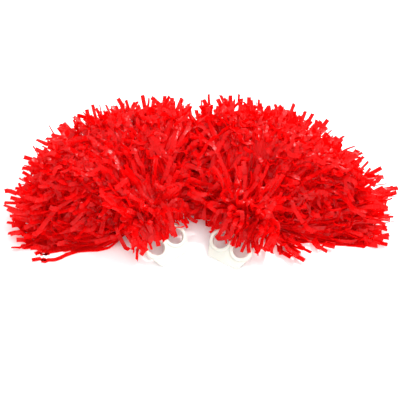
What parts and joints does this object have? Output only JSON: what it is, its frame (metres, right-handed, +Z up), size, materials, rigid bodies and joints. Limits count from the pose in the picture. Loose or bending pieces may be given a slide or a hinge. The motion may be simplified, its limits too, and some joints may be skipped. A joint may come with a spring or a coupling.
{
  "type": "pair of cheer pom poms",
  "caption": "Pair of fluffy hand-held poms, flattened half-domes of narrow glossy film strips, each gathered round the bar of a flat handle with finger holes.",
  "frame": {"origin": "on the table, under the middle of the box round the pair", "axes": "+X from the left pom to the right pom, +Y from the handles to the back of the strips, +Z up"},
  "size_m": [0.6111, 0.3254, 0.1278],
  "materials": {
    "film": "glossy, slightly see-through film",
    "handle_plastic": "semi-gloss moulded plastic",
    "tie_band": "satin band"
  },
  "bodies": {
    "left_head": {"left_film_fold": "film", "left_tie": "tie_band", "left_lower_sheet_1": "film", "left_lower_sheet_2": "film", "left_lower_sheet_3": "film", "left_lower_sheet_4": "film", "left_lower_sheet_5": "film", "left_lower_sheet_6": "film"},
    "left_top": {"left_upper_sheet_1": "film", "left_upper_sheet_2": "film", "left_upper_sheet_3": "film", "left_upper_sheet_4": "film", "left_upper_sheet_5": "film", "left_upper_sheet_6": "film"},
    "left_handle": {"left_handle": "handle_plastic"},
    "right_head": {"right_film_fold": "film", "right_tie": "tie_band", "right_lower_sheet_1": "film", "right_lower_sheet_2": "film", "right_lower_sheet_3": "film", "right_lower_sheet_4": "film", "right_lower_sheet_5": "film", "right_lower_sheet_6": "film"},
    "right_top": {"right_upper_sheet_1": "film", "right_upper_sheet_2": "film", "right_upper_sheet_3": "film", "right_upper_sheet_4": "film", "right_upper_sheet_5": "film", "right_upper_sheet_6": "film"},
    "right_handle": {"right_handle": "handle_plastic"}
  },
  "joints": [
    {"name": "left_top_lift", "type": "hinge", "parent": "left_head", "child": "left_top", "pos_m": [-0.08951, -0.08094, 0.03178], "axis": [0.788, 0.6157, 0], "range_deg": [0, 15]},
    {"name": "left_handle_swing", "type": "hinge", "parent": "left_head", "child": "left_handle", "pos_m": [-0.0772, -0.0967, 0.03178], "axis": [-0.788, -0.6157, 0], "range_deg": [0, 90]},
    {"name": "pair_spread", "type": "slide", "parent": "left_head", "child": "right_head", "axis": [1, 0, 0], "range_m": [0, 0.3]},
    {"name": "right_top_lift", "type": "hinge", "parent": "right_head", "child": "right_top", "pos_m": [0.0691, -0.08434, 0.03178], "axis": [0.848, -0.5299, 0], "range_deg": [0, 15]},
    {"name": "right_handle_swing", "type": "hinge", "parent": "right_head", "child": "right_handle", "pos_m": [0.0585, -0.1013, 0.03178], "axis": [-0.848, 0.5299, 0], "range_deg": [0, 90]}
  ]
}
